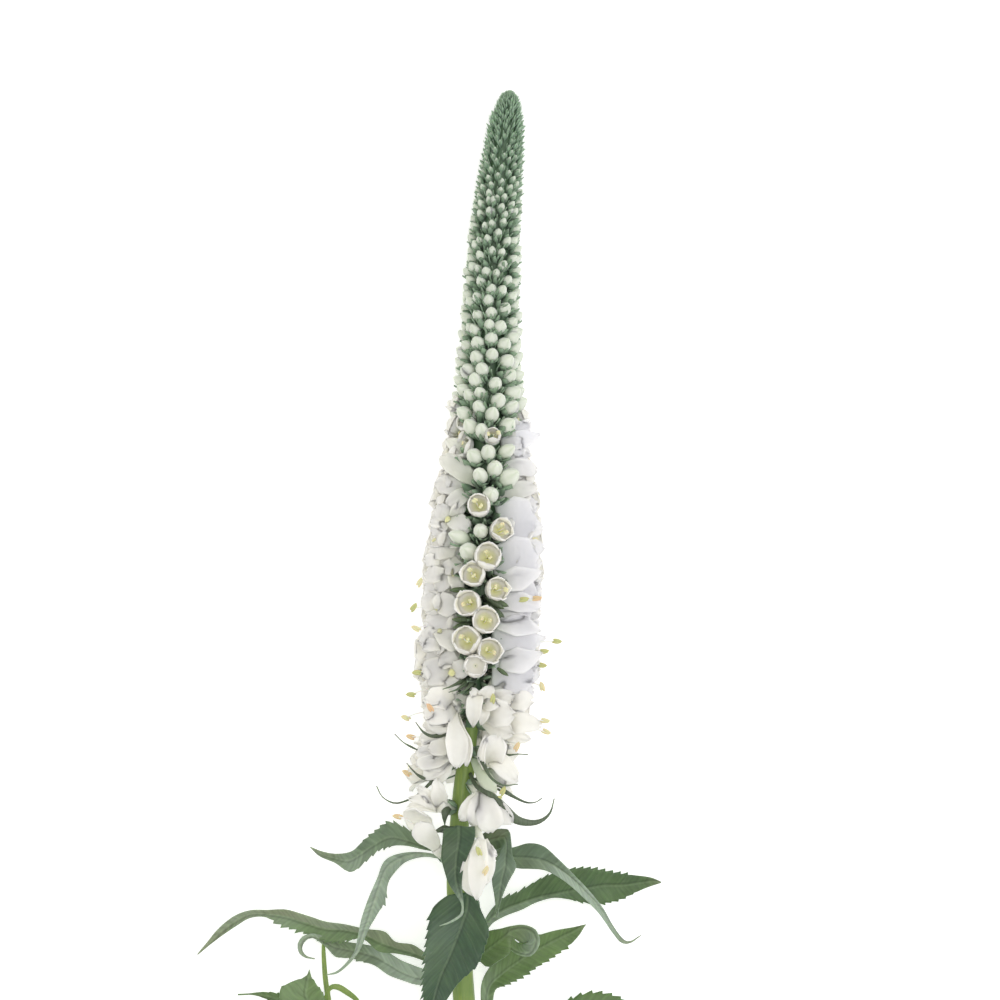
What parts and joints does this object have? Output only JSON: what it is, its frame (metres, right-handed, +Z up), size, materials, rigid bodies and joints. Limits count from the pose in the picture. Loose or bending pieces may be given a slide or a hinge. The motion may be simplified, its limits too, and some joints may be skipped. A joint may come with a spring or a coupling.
{
  "type": "veronica flower spike",
  "caption": "Cut stem of white veronica lying on its side: a tapering spike of buds and small open florets above whorls of toothed, drooping leaves.",
  "frame": {"origin": "middle of the part's outline from above, at the height of the surface it lies on", "axes": "+Y along the stem towards the tip of the spike, +Z up, the side the picture shows; +X to the right in the picture"},
  "size_m": [0.0932, 0.2393, 0.0268],
  "materials": {
    "petals": "matte, faintly translucent",
    "stem": "smooth, slightly waxy",
    "leaf": "satin, finely hairy"
  },
  "bodies": {
    "root": {"flower_spike": "petals", "stem": "stem", "leaf_upper_left": "leaf", "leaf_upper_left_drooping": "leaf", "leaf_upper_front": "leaf", "leaf_upper_right_front": "leaf", "leaf_upper_right": "leaf", "leaf_middle_front": "leaf", "leaf_middle_right": "leaf", "leaf_middle_left_long": "leaf", "leaf_middle_left_curled": "leaf", "leaf_middle_right_rolled": "leaf", "leaf_lower_right_raised": "leaf", "leaf_lower_right": "leaf", "leaf_lower_left": "leaf", "leaf_lower_front": "leaf", "leaf_lower_back": "leaf", "leaf_side_shoot": "leaf"}
  },
  "joints": []
}
